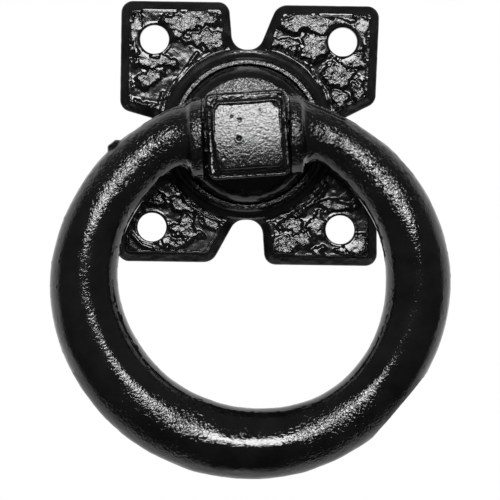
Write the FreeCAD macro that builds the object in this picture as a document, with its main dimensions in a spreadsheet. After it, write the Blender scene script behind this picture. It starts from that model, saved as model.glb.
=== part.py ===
import FreeCAD, Part
import os
import Sketcher

# Ring pull handle in painted malleable cast iron: a four-lobed backplate with four screw holes, a domed
# boss that turns in the plate's round seat and is held from behind by a washer, and a heavy ring that
# swings on two trunnions in the boss's square block. Millimetres. The plate's mounting face is the plane
# y = 0, the handle stands out from it towards -Y, +Z is up, and the origin is on the boss's own axis.

SIZES = [
    # Backplate outline: how far each lobe reaches beyond the centre of its screw hole.
    ("upper_left_side", 6.85, "left edge of the upper left lobe"),
    ("upper_left_top", 7.85, "top edge of the upper left lobe"),
    ("upper_right_side", 7.45, "upper right lobe at its upper corner"),
    ("upper_right_low_side", 6.85, "the same edge at its lower corner"),
    ("upper_right_top", 7.4, "top edge of the upper right lobe"),
    ("lower_right_side", 7.65, "lower right lobe at its lower corner"),
    ("lower_right_high_side", 7.25, "the same edge at its upper corner"),
    ("lower_right_bottom", 7.3, "bottom edge of the lower right lobe"),
    ("lower_left_side", 7.0, "left edge of the lower left lobe"),
    ("lower_left_bottom", 7.0, "bottom edge of the lower left lobe"),
    # Where the lobes' edges end at the notches, from the boss axis.
    ("upper_left_low", 4.9, "lower end of the upper left lobe's left edge"),
    ("upper_left_mouth", 4.1, "where its top edge ends at the top notch"),
    ("upper_right_low", 6.85, "lower end of the upper right lobe's right edge"),
    ("upper_right_mouth", 5.75, "where its top edge begins at the top notch"),
    ("lower_right_high", 6.2, "upper end of the lower right lobe's right edge"),
    ("lower_right_mouth", 3.9, "where its bottom edge begins at the bottom notch"),
    ("lower_left_high", 6.8, "upper end of the lower left lobe's left edge"),
    ("lower_left_mouth", 6.8, "where its bottom edge ends at the bottom notch"),
    ("notch_land", 0.25, "from the cove's foot to the floor of the top and bottom notches"),
    ("side_notch_land", 0.7, "from the cove's foot to the floor of the side notches"),
    ("steep_land", 0.2, "half floor on the steep wall's side, beyond the corner's radius"),
    ("slant_fall", 0.9, "half floor on the slanting wall's side, short of the corner's radius"),
    ("side_notch_half", 2.65, "half floor of the side notches"),
    ("corner_left", 0.3, "radius left of a lobe's corner inside its bevel"),
    ("notch_round", 3.0, "corners of the notches"),
    # Backplate in depth.
    ("plate_face", 4.0, "front face of the lobes over the mounting face"),
    ("edge_bevel", 2.1, "bevel round the front edge"),
    ("hole_spacing_x", 38.3, "screw holes, side to side"),
    ("hole_spacing_z", 38.2, "screw holes, up and down"),
    ("hole_r", 3.0, "screw hole radius"),
    ("hole_lip", 0.65, "rounded mouth of a screw hole"),
    ("rim_wall", 0.95, "collar's rim round the seat"),
    ("cove_r", 1.9, "hollow cove from the lobes up to the collar"),
    ("seat_step", 0.6, "floor of the boss's seat over the lobes' face"),
    ("seat_gap", 0.3, "open gap round the boss in its seat"),
    ("hollow_room", 1.8, "hollow in the plate's back, round the washer"),
    ("hollow_depth", 2.5, "its depth"),
    # Boss.
    ("base_r", 13.95, "round base of the boss"),
    ("base_wall", 1.8, "height of the base up to the flank"),
    ("flank_in", 2.55, "how far the flank comes in"),
    ("flank_rise", 3.4, "height of the flank"),
    ("flank_bulge", 0.35, "how far the flank swells from a straight line"),
    ("dome_rise", 1.2, "rise of the dome over the flank"),
    ("shank_r", 5.0, "shank through the plate"),
    ("shank_gap", 0.06, "running gap of the shank in the plate"),
    ("head_lip", 1.4, "shank end, hammered out over the washer"),
    ("head_start", 0.35, "back of that head over the mounting face"),
    ("block_size", 16.2, "square block on the boss"),
    ("block_turn", 1.8, "turn of the block on the boss, degrees"),
    ("front_wall", 4.82, "block from the pivot bore to its outer step"),
    ("step_bevel", 0.45, "bevel of the outer step"),
    ("step_width", 1.1, "outer step round the raised panel"),
    ("panel_rise", 1.55, "height of the raised panel"),
    ("panel_bevel", 0.5, "bevel of the raised panel"),
    ("panel_edge", 1.3, "rounded upright edges of the panel"),
    ("block_edge", 1.5, "rounded upright edges of the block"),
    ("crown_fall", 0.55, "how far the panel's crown falls from its middle to the block's corners"),
    # Pivot.
    ("eye_clear", 0.8, "ring's eyes over the dome's crown"),
    ("pivot_drop", 0.55, "pivot axis under the boss axis"),
    ("trunnion_r", 3.0, "trunnions of the ring"),
    ("trunnion_gap", 0.08, "running gap of the trunnions in the block"),
    ("trunnion_end", 4.0, "where the trunnions end, from the middle"),
    ("assembly_turn", 2.8, "turn of boss and ring on the plate, degrees"),
    # Washer behind the plate.
    ("washer_r", 9.0, "washer behind the plate"),
    ("washer_thick", 1.2, "its thickness"),
    ("washer_play", 0.05, "end play between washer and plate"),
    ("washer_bore_gap", 0.05, "washer on the shank"),
    # Ring, with how far the casting strays from a true ring at each hour of the clock.
    ("ring_r", 39.5, "outer edge of a true ring"),
    ("bar_width", 13.0, "width of its bar"),
    ("hang_in", 9.45, "boss axis inside the ring's outer edge"),
    ("ring_shift", 0.48, "ring centre left of the boss axis"),
    ("out_1", -1.2, "outer edge beyond the true ring at one o'clock"),
    ("out_2", 0.15, "at two"),
    ("out_3", 0.95, "at three"),
    ("out_4", 0.5, "at four"),
    ("out_5", 0.3, "at five"),
    ("out_6", 0.1, "at six"),
    ("out_7", 0.2, "at seven"),
    ("out_8", 0.65, "at eight"),
    ("out_9", 0.85, "at nine"),
    ("out_10", -0.1, "at ten"),
    ("out_11", -0.9, "at eleven"),
    ("swell_1", -2.4, "bar wider than its width at one o'clock"),
    ("swell_2", -0.9, "at two"),
    ("swell_3", 0.2, "at three"),
    ("swell_4", -0.2, "at four"),
    ("swell_5", 0.2, "at five"),
    ("swell_6", 1.35, "at six"),
    ("swell_7", 1.8, "at seven"),
    ("swell_8", 1.85, "at eight"),
    ("swell_9", 0.9, "at nine"),
    ("swell_10", -0.6, "at ten"),
    ("swell_11", -1.7, "at eleven"),
    ("depth_ratio", 1.03, "depth of the bar against its width"),
    ("neck_step", 0.95, "neck inside the rim of its eye"),
    ("neck_rise_left", 0.45, "middle of the left neck over the pivot axis"),
    ("neck_rise_right", 0.8, "middle of the right neck over the pivot axis"),
    ("eye_r", 8.2, "round eyes at the ring's ends"),
    ("eye_thick", 2.7, "thickness of an eye at its rim"),
    ("left_gap", 0.85, "open gap between the block and the left eye"),
    ("right_gap", 0.5, "open gap between the block and the right eye"),
    ("eye_edge", 0.4, "rounded edges of the eyes"),
    ("eye_taper", 1.8, "hollow taper from an eye's rim into its neck"),
    ("flat_depth", 0.5, "ground flat low on the right, inside the true ring"),
    ("flat_angle", 42.0, "its direction under the horizontal, degrees"),
]

# Sizes that follow from the named ones.
HALF_X = "sizes.hole_spacing_x / 2"
HALF_Z = "sizes.hole_spacing_z / 2"
SEAT_R = "(sizes.base_r + sizes.seat_gap)"
COLLAR_R = "(%s + sizes.rim_wall)" % SEAT_R
COVE_FOOT = "(%s + sizes.cove_r)" % COLLAR_R
SEAT_FLOOR = "(sizes.plate_face + sizes.seat_step)"
BASE_EDGE = "(%s + sizes.base_wall)" % SEAT_FLOOR
FLANK_TOP = "(%s + sizes.flank_rise)" % BASE_EDGE
FLANK_TOP_R = "(sizes.base_r - sizes.flank_in)"
DOME_TOP = "(%s + sizes.dome_rise)" % FLANK_TOP
PIVOT_HEIGHT = "(%s + sizes.eye_clear + sizes.eye_r)" % DOME_TOP
BORE_R = "(sizes.trunnion_r + sizes.trunnion_gap)"
BLOCK_FACE = "(%s + %s + sizes.front_wall)" % (PIVOT_HEIGHT, BORE_R)
PANEL_SIZE = "(sizes.block_size - 2 * sizes.step_width)"
EYE_LEFT = "(sizes.block_size / 2 + sizes.left_gap)"
EYE_RIGHT = "(sizes.block_size / 2 + sizes.right_gap)"
NECK_WIDTH = "(2 * (sizes.eye_r - sizes.neck_step))"
RING_DROP = "(sizes.ring_r - sizes.hang_in)"
LOBE_ROUND = "sizes.edge_bevel + sizes.corner_left"
NOTCH_ROUND = "sizes.notch_round"

CLOCK_STEP = 30.0
CLOCK_TOP = 90.0

doc = FreeCAD.newDocument("ring_pull_handle")
sheet = doc.addObject("Spreadsheet::Sheet", "sizes")


def fill_sheet():
    """Writes every named size into the sheet."""
    for row, (name, value, note) in enumerate(SIZES, start=1):
        sheet.set("A%d" % row, name)
        sheet.set("B%d" % row, str(value))
        sheet.setAlias("B%d" % row, name)
        sheet.set("C%d" % row, note)
    doc.recompute()


def size(name):
    """Reads one named size from the sheet."""
    return float(sheet.get(name))


def origin_feature(body, role):
    """Finds an origin plane or axis of a body by its role."""
    return next(item for item in body.Origin.OriginFeatures if item.Role == role)


def new_body(label):
    """Makes an empty body with its label and placement."""
    body = doc.addObject("PartDesign::Body", label)
    body.Label = label
    body.Placement = FreeCAD.Placement()
    return body


def new_sketch(body, name, role):
    """Makes a sketch on one of the body's own origin planes."""
    sketch = body.newObject("Sketcher::SketchObject", name)
    sketch.AttachmentSupport = (origin_feature(body, role), [""])
    sketch.MapMode = "FlatFace"
    return sketch


def lift(sketch, expression):
    """Moves a sketch along its own normal by an expression."""
    sketch.setExpression("AttachmentOffset.Base.z", expression)


def constrain(sketch, kind, places, expression):
    """Adds one dimension to a sketch, driven by an expression."""
    value = sketch.evalExpression(expression)
    value = float(getattr(value, "Value", value))
    index = sketch.addConstraint(Sketcher.Constraint(kind, *places, value))
    sketch.setExpression("Constraints[%d]" % index, expression)


def pin_point(sketch, place, x, y):
    """Fixes a sketch point at signed sizes such as '-eye_left' or '0' from the sketch's origin."""
    for kind, text, own_axis in (("DistanceX", x, -2), ("DistanceY", y, -1)):
        if text == "0":
            sketch.addConstraint(Sketcher.Constraint("PointOnObject", *place, own_axis))
        elif text.startswith("-"):
            constrain(sketch, kind, (*place, -1, 1), text[1:])
        else:
            constrain(sketch, kind, (-1, 1, *place), text)


def evaluate(sketch, text):
    """Gives the number of a signed expression."""
    sign = -1.0 if text.startswith("-") else 1.0
    value = sketch.evalExpression(text.lstrip("-"))
    return sign * float(getattr(value, "Value", value))


def draw_outline(sketch, points, bulges=None):
    """Draws a closed outline through signed points; bulges gives some sides a middle point of an arc."""
    bulges = bulges or {}
    spots = [FreeCAD.Vector(evaluate(sketch, x), evaluate(sketch, y), 0) for x, y in points]
    count = len(points)
    for index, spot in enumerate(spots):
        following = spots[(index + 1) % count]
        if index in bulges:
            middle = FreeCAD.Vector(*[evaluate(sketch, part) for part in bulges[index]], 0)
            sketch.addGeometry(Part.Arc(spot, middle, following), False)
        else:
            sketch.addGeometry(Part.LineSegment(spot, following), False)
    starts = [side_place(spots, sketch, index) for index in range(count)]
    ends = [(index, 2 if place[1] == 1 else 1) for index, place in enumerate(starts)]
    for index in range(count):
        joined = starts[(index + 1) % count]
        sketch.addConstraint(Sketcher.Constraint("Coincident", *ends[index], *joined))
    for index, (x, y) in enumerate(points):
        pin_point(sketch, starts[index], x, y)


def side_place(spots, sketch, index):
    """Tells which end of a side lies on its own first point."""
    start = sketch.getPoint(index, 1)
    return (index, 1) if start.distanceToPoint(spots[index]) < 1e-6 else (index, 2)


def draw_circle(sketch, x, y, radius):
    """Draws one circle at a signed centre."""
    centre = FreeCAD.Vector(evaluate(sketch, x), evaluate(sketch, y), 0)
    index = sketch.addGeometry(Part.Circle(centre, FreeCAD.Vector(0, 0, 1), evaluate(sketch, radius)), False)
    pin_point(sketch, (index, 3), x, y)
    constrain(sketch, "Radius", (index,), radius)


def add_feature(body, kind, name, sketch, **settings):
    """Adds one sketch-based feature and recomputes it."""
    feature = body.newObject("PartDesign::" + kind, name)
    feature.Profile = sketch
    for key, value in settings.items():
        setattr(feature, key, value)
    doc.recompute()
    return feature


def pad(body, name, sketch, length, **settings):
    """Pads a sketch by an expression."""
    feature = add_feature(body, "Pad", name, sketch, **settings)
    feature.setExpression("Length", length)
    doc.recompute()
    return feature


def turn_round_y(body, kind, name, sketch):
    """Revolves or grooves a profile all the way round the Y axis of the body."""
    axis = (origin_feature(body, "Y_Axis"), [""])
    return add_feature(body, kind, name, sketch, ReferenceAxis=axis, Angle=360.0)


def edge_names(feature, wanted):
    """Names the edges of a feature for which wanted(edge) holds."""
    edges = feature.Shape.Edges
    return ["Edge%d" % number for number, edge in enumerate(edges, start=1) if wanted(edge)]


def dress(body, kind, name, base, wanted, amount):
    """Rounds or bevels the chosen edges of the last feature by an expression."""
    names = edge_names(base, wanted)
    if not names:
        raise ValueError("no edges found for " + name)
    feature = body.newObject("PartDesign::" + kind, name)
    feature.Base = (base, names)
    feature.setExpression("Radius" if kind == "Fillet" else "Size", amount)
    doc.recompute()
    return feature


def flat_at(edge, place, axis):
    """Tells whether a whole edge lies at one coordinate along an axis."""
    box = edge.BoundBox
    low = (box.XMin, box.YMin, box.ZMin)[axis]
    high = (box.XMax, box.YMax, box.ZMax)[axis]
    return abs(low - place) < 1e-3 and abs(high - place) < 1e-3


def beyond_hole(half_spacing, name):
    """A lobe's edge: the named reach beyond the centre of its screw hole."""
    return "(%s + sizes.%s)" % (half_spacing, name)


def plate_corners():
    """The sharp corners of the backplate, clockwise from its upper left, with the size of their rounding."""
    floor = "(%s + sizes.notch_land)" % COVE_FOOT
    side_floor = "(%s + sizes.side_notch_land)" % COVE_FOOT
    steep = "(sizes.notch_round + sizes.steep_land)"
    slant = "(sizes.notch_round - sizes.slant_fall)"
    left_top = beyond_hole(HALF_Z, "upper_left_top")
    right_top = beyond_hole(HALF_Z, "upper_right_top")
    right_bottom = "-" + beyond_hole(HALF_Z, "lower_right_bottom")
    left_bottom = "-" + beyond_hole(HALF_Z, "lower_left_bottom")
    high_left = "-" + beyond_hole(HALF_X, "upper_left_side")
    low_left = "-" + beyond_hole(HALF_X, "lower_left_side")
    return [
        (high_left, left_top, LOBE_ROUND),
        ("-sizes.upper_left_mouth", left_top, LOBE_ROUND),
        ("-" + steep, floor, NOTCH_ROUND),
        (slant, floor, NOTCH_ROUND),
        ("sizes.upper_right_mouth", right_top, NOTCH_ROUND),
        (beyond_hole(HALF_X, "upper_right_side"), right_top, LOBE_ROUND),
        (beyond_hole(HALF_X, "upper_right_low_side"), "sizes.upper_right_low", LOBE_ROUND),
        (side_floor, "sizes.side_notch_half", NOTCH_ROUND),
        (side_floor, "-sizes.side_notch_half", NOTCH_ROUND),
        (beyond_hole(HALF_X, "lower_right_high_side"), "-sizes.lower_right_high", LOBE_ROUND),
        (beyond_hole(HALF_X, "lower_right_side"), right_bottom, LOBE_ROUND),
        ("sizes.lower_right_mouth", right_bottom, LOBE_ROUND),
        (steep, "-" + floor, NOTCH_ROUND),
        ("-" + slant, "-" + floor, NOTCH_ROUND),
        ("-sizes.lower_left_mouth", left_bottom, NOTCH_ROUND),
        (low_left, left_bottom, LOBE_ROUND),
        (low_left, "-sizes.lower_left_high", LOBE_ROUND),
        ("-" + side_floor, "-sizes.side_notch_half", NOTCH_ROUND),
        ("-" + side_floor, "sizes.side_notch_half", NOTCH_ROUND),
        (high_left, "sizes.upper_left_low", LOBE_ROUND),
    ]


def make_backplate():
    """The four-lobed casting with its collar, seat, screw holes and hollow back."""
    body = new_body("backplate")
    corners = plate_corners()
    outline = new_sketch(body, "plate_outline", "XZ_Plane")
    draw_outline(outline, [(x, z) for x, z, _ in corners])
    last = pad(body, "plate_pad", outline, "sizes.plate_face")
    for name, rounding in (("lobe_corners", LOBE_ROUND), ("notch_corners", NOTCH_ROUND)):
        spots = [
            (evaluate(outline, x), evaluate(outline, z)) for x, z, amount in corners if amount == rounding
        ]
        last = dress(body, "Fillet", name, last, lambda edge: upright_at(edge, spots), rounding)
    front = -size("plate_face")
    dress(body, "Chamfer", "edge_bevel", last, lambda edge: flat_at(edge, front, 1), "sizes.edge_bevel")
    add_collar(body)
    cut_seat(body)
    cut_screw_holes(body)
    return body


def upright_at(edge, spots):
    """Tells whether an edge runs front to back at one of the given corners."""
    middle = edge.BoundBox.Center
    short = edge.BoundBox.XLength < 1e-6 and edge.BoundBox.ZLength < 1e-6
    return short and any(abs(middle.x - x) < 1e-3 and abs(middle.z - z) < 1e-3 for x, z in spots)


def add_collar(body):
    """The round collar with the cove that leads up to it from the lobes."""
    profile = new_sketch(body, "collar_profile", "YZ_Plane")
    rim = "-(sizes.plate_face + sizes.cove_r)"
    points = [
        ("0", SEAT_R),
        ("0", COVE_FOOT),
        ("-sizes.plate_face", COVE_FOOT),
        (rim, COLLAR_R),
        (rim, SEAT_R),
    ]
    diagonal = "sizes.cove_r * (1 - sqrt(0.5))"
    middle = ("-(sizes.plate_face + %s)" % diagonal, "%s + %s" % (COLLAR_R, diagonal))
    draw_outline(profile, points, {2: middle})
    constrain(profile, "Radius", (2,), "sizes.cove_r")
    turn_round_y(body, "Revolution", "collar", profile)


def cut_seat(body):
    """The boss's seat in front, the hollow behind, and the bore for the shank between them."""
    profile = new_sketch(body, "seat_profile", "YZ_Plane")
    deep = "-(sizes.plate_face + 2 * sizes.cove_r)"
    bore = "sizes.shank_r + sizes.shank_gap"
    hollow = "sizes.washer_r + sizes.hollow_room"
    points = [
        ("0", "0"),
        ("0", hollow),
        ("-sizes.hollow_depth", hollow),
        ("-sizes.hollow_depth", bore),
        ("-" + SEAT_FLOOR, bore),
        ("-" + SEAT_FLOOR, SEAT_R),
        (deep, SEAT_R),
        (deep, "0"),
    ]
    draw_outline(profile, points)
    turn_round_y(body, "Groove", "seat", profile)


def cut_screw_holes(body):
    """Four screw holes with rounded mouths."""
    sketch = new_sketch(body, "hole_centres", "XZ_Plane")
    for x in (HALF_X, "-" + HALF_X):
        for z in (HALF_Z, "-" + HALF_Z):
            draw_circle(sketch, x, z, "sizes.hole_r")
    pocket = add_feature(body, "Pocket", "screw_holes", sketch, Type="ThroughAll", Midplane=True)
    front = -size("plate_face")
    across = 2 * size("hole_r")
    dress(
        body,
        "Fillet",
        "hole_lips",
        pocket,
        lambda edge: flat_at(edge, front, 1) and abs(edge.BoundBox.XLength - across) < 1e-3,
        "sizes.hole_lip",
    )


def make_boss():
    """The turning boss: round base and dome, shank behind, square block with a stepped front."""
    body = new_body("boss")
    add_block(body)
    profile = new_sketch(body, "boss_profile", "YZ_Plane")
    head_front = "-(sizes.hollow_depth - sizes.washer_thick - sizes.washer_play)"
    points = [
        ("-sizes.head_start", "0"),
        ("-sizes.head_start", "sizes.shank_r"),
        (head_front, "sizes.shank_r + sizes.head_lip"),
        (head_front, "sizes.shank_r"),
        ("-" + SEAT_FLOOR, "sizes.shank_r"),
        ("-" + SEAT_FLOOR, "sizes.base_r"),
        ("-" + BASE_EDGE, "sizes.base_r"),
        ("-" + FLANK_TOP, FLANK_TOP_R),
        ("-" + DOME_TOP, "0"),
    ]
    flank = (
        "-((%s + %s) / 2 + sizes.flank_bulge)" % (BASE_EDGE, FLANK_TOP),
        "(sizes.base_r + %s) / 2 + sizes.flank_bulge" % FLANK_TOP_R,
    )
    dome = ("-(%s - sizes.dome_rise / 4)" % DOME_TOP, FLANK_TOP_R + " / 2")
    draw_outline(profile, points, {6: flank, 7: dome})
    turn_round_y(body, "Revolution", "boss_round", profile)
    bore = new_sketch(body, "pivot_bore_circle", "YZ_Plane")
    draw_circle(bore, "-" + PIVOT_HEIGHT, "-sizes.pivot_drop", BORE_R)
    add_feature(body, "Pocket", "pivot_bore", bore, Type="ThroughAll", Midplane=True)
    set_turn(body)
    return body


def draw_square(body, name, side, level):
    """Draws a square about the boss axis, turned with the block, at a level in front."""
    sketch = new_sketch(body, name, "XZ_Plane")
    half = "%s / 2" % side
    draw_outline(sketch, [("-" + half, half), (half, half), (half, "-" + half), ("-" + half, "-" + half)])
    offset = FreeCAD.Placement(FreeCAD.Vector(), FreeCAD.Rotation(FreeCAD.Vector(0, 0, 1), 1.0))
    sketch.AttachmentOffset = offset
    sketch.setExpression("AttachmentOffset.Rotation.Angle", "sizes.block_turn")
    sketch.setExpression("AttachmentOffset.Base.y", "-sizes.pivot_drop")
    lift(sketch, level)
    return sketch


def is_upright(edge):
    """Tells whether an edge of the block runs front to back."""
    box = edge.BoundBox
    return box.YLength > box.XLength + box.ZLength


def ahead_of(edge, step):
    """Tells whether an edge of the raised panel runs front to back from the block's step."""
    return is_upright(edge) and edge.BoundBox.YMin < step - 1e-3


def add_block(body):
    """The square block with its stepped, crowned front, standing on the level of the base's edge."""
    block = draw_square(body, "block_square", "sizes.block_size", BASE_EDGE)
    last = pad(body, "block", block, "%s - %s" % (BLOCK_FACE, BASE_EDGE))
    last = dress(body, "Fillet", "block_edges", last, is_upright, "sizes.block_edge")
    step = -evaluate(block, BLOCK_FACE)
    last = dress(body, "Chamfer", "block_step", last, lambda edge: flat_at(edge, step, 1), "sizes.step_bevel")
    panel = draw_square(body, "panel_square", PANEL_SIZE, "%s - sizes.step_bevel" % BLOCK_FACE)
    last = pad(body, "panel", panel, "sizes.panel_rise + sizes.step_bevel")
    last = dress(body, "Fillet", "panel_corners", last, lambda edge: ahead_of(edge, step), "sizes.panel_edge")
    top = step - size("panel_rise")
    dress(body, "Chamfer", "panel_edge", last, lambda edge: flat_at(edge, top, 1), "sizes.panel_bevel")
    crown_panel(body)


def crown_panel(body):
    """Takes the panel's front down a little towards its corners."""
    profile = new_sketch(body, "crown_profile", "YZ_Plane")
    top = "(%s + sizes.panel_rise)" % BLOCK_FACE
    corner = "sizes.block_size * sqrt(0.5)"
    points = [
        ("-" + top, "0"),
        ("-(%s - sizes.crown_fall)" % top, corner),
        ("-(%s + sizes.panel_rise)" % top, corner),
        ("-(%s + sizes.panel_rise)" % top, "0"),
    ]
    middle = ("-(%s - sizes.crown_fall / 4)" % top, corner + " / 2")
    draw_outline(profile, points, {0: middle})
    turn_round_y(body, "Groove", "panel_crown", profile)


def set_turn(body):
    """Turns a whole body a little about the boss axis, as the handle was found."""
    body.Placement = FreeCAD.Placement(FreeCAD.Vector(), FreeCAD.Rotation(FreeCAD.Vector(0, -1, 0), 1.0))
    body.setExpression("Placement.Rotation.Angle", "sizes.assembly_turn")


def make_washer():
    """The plain washer that holds the boss from behind."""
    body = new_body("retaining_washer")
    profile = new_sketch(body, "washer_profile", "YZ_Plane")
    back = "-(sizes.hollow_depth - sizes.washer_thick - sizes.washer_play)"
    front = "-(sizes.hollow_depth - sizes.washer_play)"
    bore = "sizes.shank_r + sizes.washer_bore_gap"
    draw_outline(profile, [(back, bore), (back, "sizes.washer_r"), (front, "sizes.washer_r"), (front, bore)])
    turn_round_y(body, "Revolution", "washer", profile)
    return body


def ring_section(body, name, turn, shift_x, middle, width):
    """One oval cross-section of the bar, on a plane turned about the ring's centre."""
    sketch = new_sketch(body, name, "XY_Plane")
    axis = FreeCAD.Vector(0, -1, 0)
    sketch.AttachmentOffset = FreeCAD.Placement(FreeCAD.Vector(), FreeCAD.Rotation(axis, turn))
    sketch.setExpression("AttachmentOffset.Base.x", shift_x)
    sketch.setExpression("AttachmentOffset.Base.z", "-" + RING_DROP)
    centre = FreeCAD.Vector(evaluate(sketch, middle), -evaluate(sketch, PIVOT_HEIGHT), 0)
    half_width = evaluate(sketch, width) / 2
    half_depth = half_width * size("depth_ratio")
    deep = centre + FreeCAD.Vector(0, half_depth, 0)
    wide = centre + FreeCAD.Vector(half_width, 0, 0)
    sketch.addGeometry(Part.Ellipse(deep, wide, centre), False)
    sketch.exposeInternalGeometry(0)
    sketch.addConstraint(Sketcher.Constraint("Vertical", 1))
    pin_point(sketch, (0, 3), middle, "-" + PIVOT_HEIGHT)
    constrain(sketch, "Distance", (1,), "%s * sizes.depth_ratio" % width)
    constrain(sketch, "Distance", (2,), width)
    return sketch


def ring_sections(body):
    """The sections from the left neck round the bottom to the right neck."""
    left = "-(%s + sizes.eye_thick / 2)" % EYE_LEFT
    right = "%s + sizes.eye_thick / 2" % EYE_RIGHT
    low = "%s + sizes.neck_rise_left - sizes.pivot_drop" % RING_DROP
    high = "%s + sizes.neck_rise_right - sizes.pivot_drop" % RING_DROP
    sections = [ring_section(body, "neck_left", CLOCK_TOP, left, low, NECK_WIDTH)]
    for hour in range(11, 0, -1):
        turn = CLOCK_TOP + CLOCK_STEP * (12 - hour)
        width = "(sizes.bar_width + sizes.swell_%d)" % hour
        place = "sizes.ring_r + sizes.out_%d - %s / 2" % (hour, width)
        sections.append(ring_section(body, "section_%d" % hour, turn, "-sizes.ring_shift", place, width))
    sections.append(ring_section(body, "neck_right", CLOCK_TOP, right, high, NECK_WIDTH))
    return sections


def add_disc(body, name, radius, start, length):
    """A round disc about the pivot axis, from a start along X over a length."""
    sketch = new_sketch(body, name + "_circle", "YZ_Plane")
    draw_circle(sketch, "-" + PIVOT_HEIGHT, "-sizes.pivot_drop", radius)
    lift(sketch, start)
    return pad(body, name, sketch, length)


def signed(side, text):
    """Puts a place on the left (-1) or right (1) of the block."""
    return "-(%s)" % text if side < 0 else "(%s)" % text


def add_eye(body, name, side, start):
    """A round eye about the pivot axis: flat towards the block, rounded rim, hollow taper into the neck."""
    sketch = new_sketch(body, name + "_profile", "XY_Plane")
    sketch.setExpression("AttachmentOffset.Base.y", "-" + PIVOT_HEIGHT)
    lift(sketch, "-sizes.pivot_drop")
    corner = "sizes.eye_edge"
    inset = "sizes.eye_edge * (1 - sqrt(0.5))"
    hollow = "sizes.eye_taper * (1 - sqrt(0.5))"
    steps = [
        ("0", "0"),
        ("0", "sizes.eye_r - " + corner),
        (corner, "sizes.eye_r"),
        ("sizes.eye_thick - " + corner, "sizes.eye_r"),
        ("sizes.eye_thick", "sizes.eye_r - " + corner),
        ("sizes.eye_thick + sizes.eye_taper", "sizes.eye_r - %s - sizes.eye_taper" % corner),
        ("sizes.eye_thick + sizes.eye_taper", "0"),
    ]
    bends = {
        1: (inset, "sizes.eye_r - " + inset),
        3: ("sizes.eye_thick - " + inset, "sizes.eye_r - " + inset),
        4: ("sizes.eye_thick + " + hollow, "sizes.eye_r - %s - sizes.eye_taper + %s" % (corner, hollow)),
    }
    points = [(signed(side, "%s + %s" % (start, along)), out) for along, out in steps]
    middles = {}
    for index, (along, out) in bends.items():
        middles[index] = (signed(side, "%s + %s" % (start, along)), out)
    draw_outline(sketch, points, middles)
    return add_feature(body, "Revolution", name, sketch, ReferenceAxis=(sketch, ["H_Axis"]), Angle=360.0)


def make_ring():
    """The cast ring with a round eye and a trunnion at each end and a flat ground low on its right."""
    body = new_body("ring")
    sections = ring_sections(body)
    doc.recompute()
    bar = body.newObject("PartDesign::AdditiveLoft", "bar")
    bar.Profile = sections[0]
    bar.Sections = sections[1:]
    doc.recompute()
    add_eye(body, "left_eye", -1, EYE_LEFT)
    add_eye(body, "right_eye", 1, EYE_RIGHT)
    reach = "(%s + sizes.eye_thick / 2)" % EYE_LEFT
    add_disc(body, "left_trunnion", "sizes.trunnion_r", "-" + reach, reach + " - sizes.trunnion_end")
    length = "%s + sizes.eye_thick / 2 - sizes.trunnion_end" % EYE_RIGHT
    add_disc(body, "right_trunnion", "sizes.trunnion_r", "sizes.trunnion_end", length)
    grind_flat(body)
    set_turn(body)
    return body


def grind_flat(body):
    """Cuts the ground flat across the outside of the bar, square to its own direction."""
    sketch = new_sketch(body, "flat_outline", "XZ_Plane")
    near = "(sizes.ring_r - sizes.flat_depth)"
    far = "(sizes.ring_r + sizes.bar_width)"
    half = "sizes.ring_r / 2"
    draw_outline(sketch, [(near, half), (far, half), (far, "-" + half), (near, "-" + half)])
    offset = FreeCAD.Placement(FreeCAD.Vector(), FreeCAD.Rotation(FreeCAD.Vector(0, 0, -1), 1.0))
    sketch.AttachmentOffset = offset
    sketch.setExpression("AttachmentOffset.Rotation.Angle", "sizes.flat_angle")
    sketch.setExpression("AttachmentOffset.Base.x", "-sizes.ring_shift")
    sketch.setExpression("AttachmentOffset.Base.y", "-" + RING_DROP)
    add_feature(body, "Pocket", "ground_flat", sketch, Type="ThroughAll", Midplane=True)


def check_and_export(bodies):
    """Checks every object and shape, then writes one file per body."""
    doc.recompute()
    os.makedirs("parts", exist_ok=True)
    for item in doc.Objects:
        if "Invalid" in item.State or "Error" in item.State:
            raise RuntimeError("%s is in state %s" % (item.Name, item.State))
    for body in bodies:
        shape = body.Shape
        if shape.isNull() or not shape.isValid() or len(shape.Solids) != 1:
            raise RuntimeError("%s has no single valid solid" % body.Label)
        print("%s volume %.1f mm3" % (body.Label, shape.Volume))
        shape.exportStep("parts/%s.step" % body.Label)


fill_sheet()
check_and_export([make_backplate(), make_boss(), make_washer(), make_ring()])
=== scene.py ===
"""Dresses the ring pull handle: three black painted iron castings, a steel washer, and a plain studio."""

import logging
import math
from dataclasses import dataclass, field
from enum import Enum
from typing import Iterable, Sequence

import bpy
import numpy as np
from mathutils import Matrix, Vector


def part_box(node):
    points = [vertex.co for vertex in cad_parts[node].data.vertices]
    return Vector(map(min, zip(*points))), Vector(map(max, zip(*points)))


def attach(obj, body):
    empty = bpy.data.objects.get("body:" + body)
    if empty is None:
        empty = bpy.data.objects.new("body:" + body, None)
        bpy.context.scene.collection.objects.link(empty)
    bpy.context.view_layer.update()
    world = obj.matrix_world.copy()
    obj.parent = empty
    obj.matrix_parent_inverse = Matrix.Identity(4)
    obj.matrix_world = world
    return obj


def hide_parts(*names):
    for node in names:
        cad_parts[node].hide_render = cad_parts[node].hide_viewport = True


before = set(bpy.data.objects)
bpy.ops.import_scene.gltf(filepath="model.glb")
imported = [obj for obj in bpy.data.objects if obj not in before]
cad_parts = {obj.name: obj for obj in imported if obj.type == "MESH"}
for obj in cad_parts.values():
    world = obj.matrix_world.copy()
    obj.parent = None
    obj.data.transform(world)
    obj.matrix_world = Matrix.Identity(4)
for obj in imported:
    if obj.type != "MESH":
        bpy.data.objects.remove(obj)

LOG = logging.getLogger("ring_pull")
MM = 0.001
GRAIN_LAYER = "grain_share"
FAR = 99.0
WHITE = (1.0, 1.0, 1.0, 1.0)
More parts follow.
